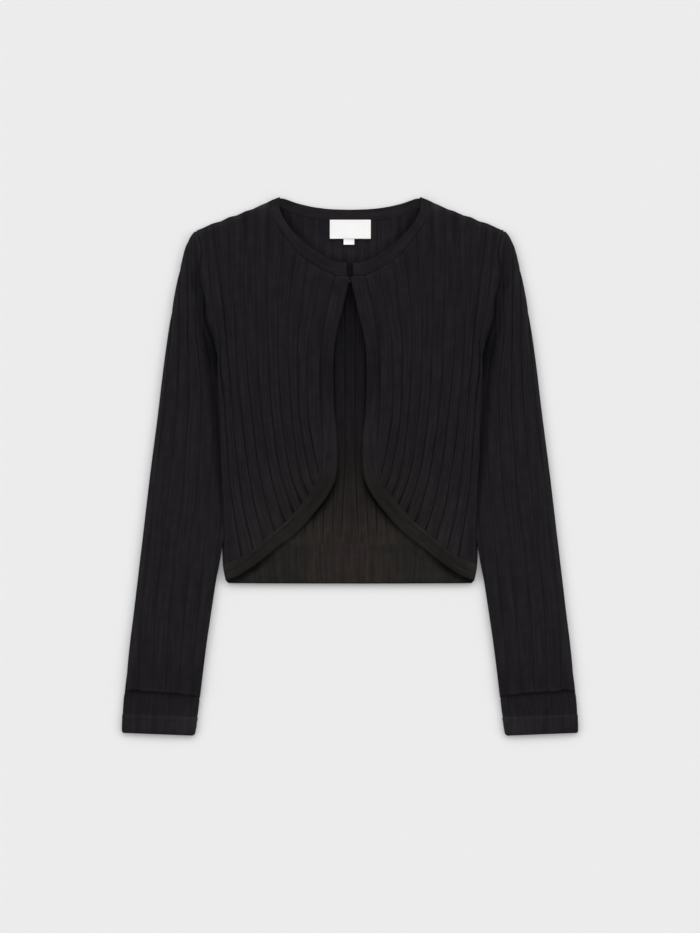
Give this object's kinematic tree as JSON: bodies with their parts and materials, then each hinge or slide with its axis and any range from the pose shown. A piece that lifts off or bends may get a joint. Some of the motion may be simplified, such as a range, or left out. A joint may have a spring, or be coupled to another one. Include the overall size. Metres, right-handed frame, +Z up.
{
  "type": "knitted shrug",
  "caption": "Cropped open-fronted knitted shrug lying flat, with wide-rib body and long sleeves, fine-rib hem and cuffs, smooth bands round the curved fronts, and a hook and eye at the neck.",
  "frame": {"origin": "on the surface the garment lies on, under the middle of its outline", "axes": "+X towards the wearer's left sleeve, +Y towards the neck, +Z up from the surface, out of the garment's front"},
  "size_m": [0.5472, 0.6452, 0.0082],
  "materials": {
    "rib_knit": "matt black fine-gauge wool-like rib knit",
    "band_knit": "matt black smooth double knit",
    "fine_rib": "matt black fine rib knit",
    "label_tape": "white woven satin tape",
    "metal": "blackened wire with a slight shine"
  },
  "bodies": {
    "root": {"back": "rib_knit", "back_hem_band": "fine_rib", "front_right": "rib_knit", "front_left": "rib_knit", "front_band_right": "band_knit", "front_band_left": "band_knit", "neckband": "band_knit", "sleeve_right": "rib_knit", "sleeve_left": "rib_knit", "cuff_right": "fine_rib", "cuff_left": "fine_rib", "label": "label_tape", "size_tab": "label_tape", "hook": "metal", "eye": "metal"}
  },
  "joints": []
}
